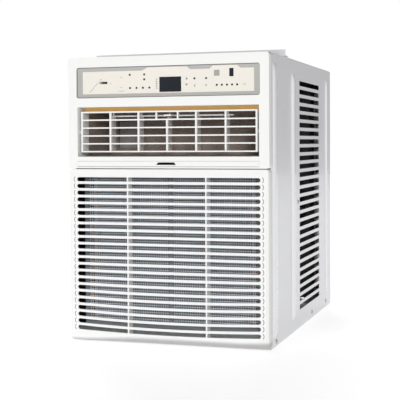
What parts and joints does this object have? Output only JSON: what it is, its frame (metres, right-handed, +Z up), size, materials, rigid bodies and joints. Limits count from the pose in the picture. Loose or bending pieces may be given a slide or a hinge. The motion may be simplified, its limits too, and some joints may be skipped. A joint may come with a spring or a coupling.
{
  "type": "window air conditioner",
  "caption": "Tall narrow window air conditioner with a louvred outlet over a slotted intake grille, a control panel, a ribbed steel cabinet and a working fan, vent and filter.",
  "frame": {"origin": "middle of the case's footprint, on the surface it stands on", "axes": "+X to the right seen from the room, +Y from the room side to the outdoor side, +Z up"},
  "size_m": [0.368, 0.56, 0.52],
  "materials": {
    "white_plastic": "satin moulded",
    "grey_plastic": "fine moulded grain",
    "cream_film": "printed film",
    "key_film": "printed film",
    "dark_window": "smoked, glossy",
    "lights": "clear",
    "painted_steel": "powder coat, fine orange peel",
    "galvanised": "galvanised",
    "screws": "zinc plated",
    "black_steel": "black enamel",
    "black_plastic": "moulded",
    "rubber": "matt",
    "copper": "drawn copper",
    "fins": "hydrophilic blue coat",
    "rear_fins": "bare",
    "foam": "expanded foam",
    "amber_seal": "adhesive-backed seal",
    "filter_mesh": "woven net",
    "board": "solder mask",
    "capacitor_can": "drawn can"
  },
  "bodies": {
    "cabinet": {"base_pan": "galvanised", "cabinet_wrap": "painted_steel", "top_rail": "painted_steel", "cabinet_screws": "screws", "front_panel": "white_plastic", "intake_grille": "white_plastic", "control_bezel": "grey_plastic", "control_overlay": "cream_film", "display_window": "dark_window", "ir_window": "dark_window", "indicator_lights": "lights", "outlet_duct": "foam", "outlet_seal": "amber_seal", "evaporator_fins": "fins", "evaporator_tubes": "copper", "evaporator_plates": "galvanised", "scroll_housing": "foam", "bulkhead": "galvanised", "fan_motor": "galvanised", "motor_bracket": "galvanised", "fan_shroud": "galvanised", "condenser_fins": "rear_fins", "condenser_tubes": "copper", "condenser_plates": "galvanised", "rear_guard": "painted_steel", "compressor": "black_steel", "compressor_grommets": "rubber", "compressor_nuts": "screws", "accumulator": "black_steel", "discharge_line": "copper", "suction_line": "copper", "capillary_line": "copper", "control_box": "galvanised", "control_board": "board", "run_capacitor": "capacitor_can", "vent_cable": "black_plastic", "drain_port": "white_plastic", "cord_gland": "black_plastic"},
    "louvre": {"louvre_frame": "white_plastic"},
    "vane_1": {"vane_1": "white_plastic"},
    "vane_2": {"vane_2": "white_plastic"},
    "vane_3": {"vane_3": "white_plastic"},
    "vane_4": {"vane_4": "white_plastic"},
    "vane_5": {"vane_5": "white_plastic"},
    "vane_link": {"vane_link": "white_plastic"},
    "filter_flap": {"filter_flap": "white_plastic"},
    "air_filter": {"filter_frame": "filter_mesh", "filter_net": "filter_mesh"},
    "vent_lever": {"vent_lever": "grey_plastic"},
    "vent_door": {"vent_door": "grey_plastic"},
    "key_fan": {"key_fan": "key_film"},
    "key_mode": {"key_mode": "key_film"},
    "key_up": {"key_up": "key_film"},
    "key_down": {"key_down": "key_film"},
    "key_timer": {"key_timer": "key_film"},
    "key_sleep": {"key_sleep": "key_film"},
    "key_power": {"key_power": "key_film"},
    "fan_rotor": {"fan_shaft": "screws", "blower_wheel": "black_plastic", "condenser_fan": "black_plastic"}
  },
  "joints": [
    {"name": "louvre_tilt", "type": "hinge", "parent": "cabinet", "child": "louvre", "pos_m": [0, -0.264, 0.37425], "axis": [1, 0, 0], "range_deg": [-18, 18]},
    {"name": "vane_1_turn", "type": "hinge", "parent": "louvre", "child": "vane_1", "pos_m": [-0.106, -0.258, 0.37425], "axis": [0, 0, 1], "range_deg": [-25, 25]},
    {"name": "vane_2_turn", "type": "hinge", "parent": "louvre", "child": "vane_2", "pos_m": [-0.053, -0.258, 0.37425], "axis": [0, 0, 1], "range_deg": [-25, 25]},
    {"name": "vane_3_turn", "type": "hinge", "parent": "louvre", "child": "vane_3", "pos_m": [0, -0.258, 0.37425], "axis": [0, 0, 1], "range_deg": [-25, 25]},
    {"name": "vane_4_turn", "type": "hinge", "parent": "louvre", "child": "vane_4", "pos_m": [0.053, -0.258, 0.37425], "axis": [0, 0, 1], "range_deg": [-25, 25]},
    {"name": "vane_5_turn", "type": "hinge", "parent": "louvre", "child": "vane_5", "pos_m": [0.106, -0.258, 0.37425], "axis": [0, 0, 1], "range_deg": [-25, 25]},
    {"name": "vane_link_slide", "type": "slide", "parent": "louvre", "child": "vane_link", "axis": [-1, 0, 0], "range_m": [-0.0035, 0.0035]},
    {"name": "filter_flap_hinge", "type": "hinge", "parent": "cabinet", "child": "filter_flap", "pos_m": [0, -0.2782, 0.3154], "axis": [1, 0, 0], "range_deg": [0, 95]},
    {"name": "filter_lift", "type": "slide", "parent": "cabinet", "child": "air_filter", "axis": [0, 0, 1], "range_m": [0, 0.014]},
    {"name": "vent_lever_slide", "type": "slide", "parent": "cabinet", "child": "vent_lever", "axis": [1, 0, 0], "range_m": [0, 0.01]},
    {"name": "vent_door_hinge", "type": "hinge", "parent": "cabinet", "child": "vent_door", "pos_m": [-0.13, -0.117, 0.399], "axis": [1, 0, 0], "range_deg": [0, 40.2]},
    {"name": "key_fan_press", "type": "slide", "parent": "cabinet", "child": "key_fan", "axis": [0, 1, 0], "range_m": [0, 0.0005], "stiffness_N_per_m": 1500, "springref_m": -0.0002},
    {"name": "key_mode_press", "type": "slide", "parent": "cabinet", "child": "key_mode", "axis": [0, 1, 0], "range_m": [0, 0.0005], "stiffness_N_per_m": 1500, "springref_m": -0.0002},
    {"name": "key_up_press", "type": "slide", "parent": "cabinet", "child": "key_up", "axis": [0, 1, 0], "range_m": [0, 0.0005], "stiffness_N_per_m": 1500, "springref_m": -0.0002},
    {"name": "key_down_press", "type": "slide", "parent": "cabinet", "child": "key_down", "axis": [0, 1, 0], "range_m": [0, 0.0005], "stiffness_N_per_m": 1500, "springref_m": -0.0002},
    {"name": "key_timer_press", "type": "slide", "parent": "cabinet", "child": "key_timer", "axis": [0, 1, 0], "range_m": [0, 0.0005], "stiffness_N_per_m": 1500, "springref_m": -0.0002},
    {"name": "key_sleep_press", "type": "slide", "parent": "cabinet", "child": "key_sleep", "axis": [0, 1, 0], "range_m": [0, 0.0005], "stiffness_N_per_m": 1500, "springref_m": -0.0002},
    {"name": "key_power_press", "type": "slide", "parent": "cabinet", "child": "key_power", "axis": [0, 1, 0], "range_m": [0, 0.0005], "stiffness_N_per_m": 1500, "springref_m": -0.0002},
    {"name": "fan_spin", "type": "hinge", "parent": "cabinet", "child": "fan_rotor", "pos_m": [0, 0.02, 0.22], "axis": [0, 1, 0], "continuous": true}
  ],
  "couplings": [
    {"joint": "vane_1_turn", "follows": "vane_link_slide", "rad_per_m": 124.6},
    {"joint": "vane_2_turn", "follows": "vane_link_slide", "rad_per_m": 124.6},
    {"joint": "vane_3_turn", "follows": "vane_link_slide", "rad_per_m": 124.6},
    {"joint": "vane_4_turn", "follows": "vane_link_slide", "rad_per_m": 124.6},
    {"joint": "vane_5_turn", "follows": "vane_link_slide", "rad_per_m": 124.6},
    {"joint": "vent_door_hinge", "follows": "vent_lever_slide", "rad_per_m": 70}
  ]
}
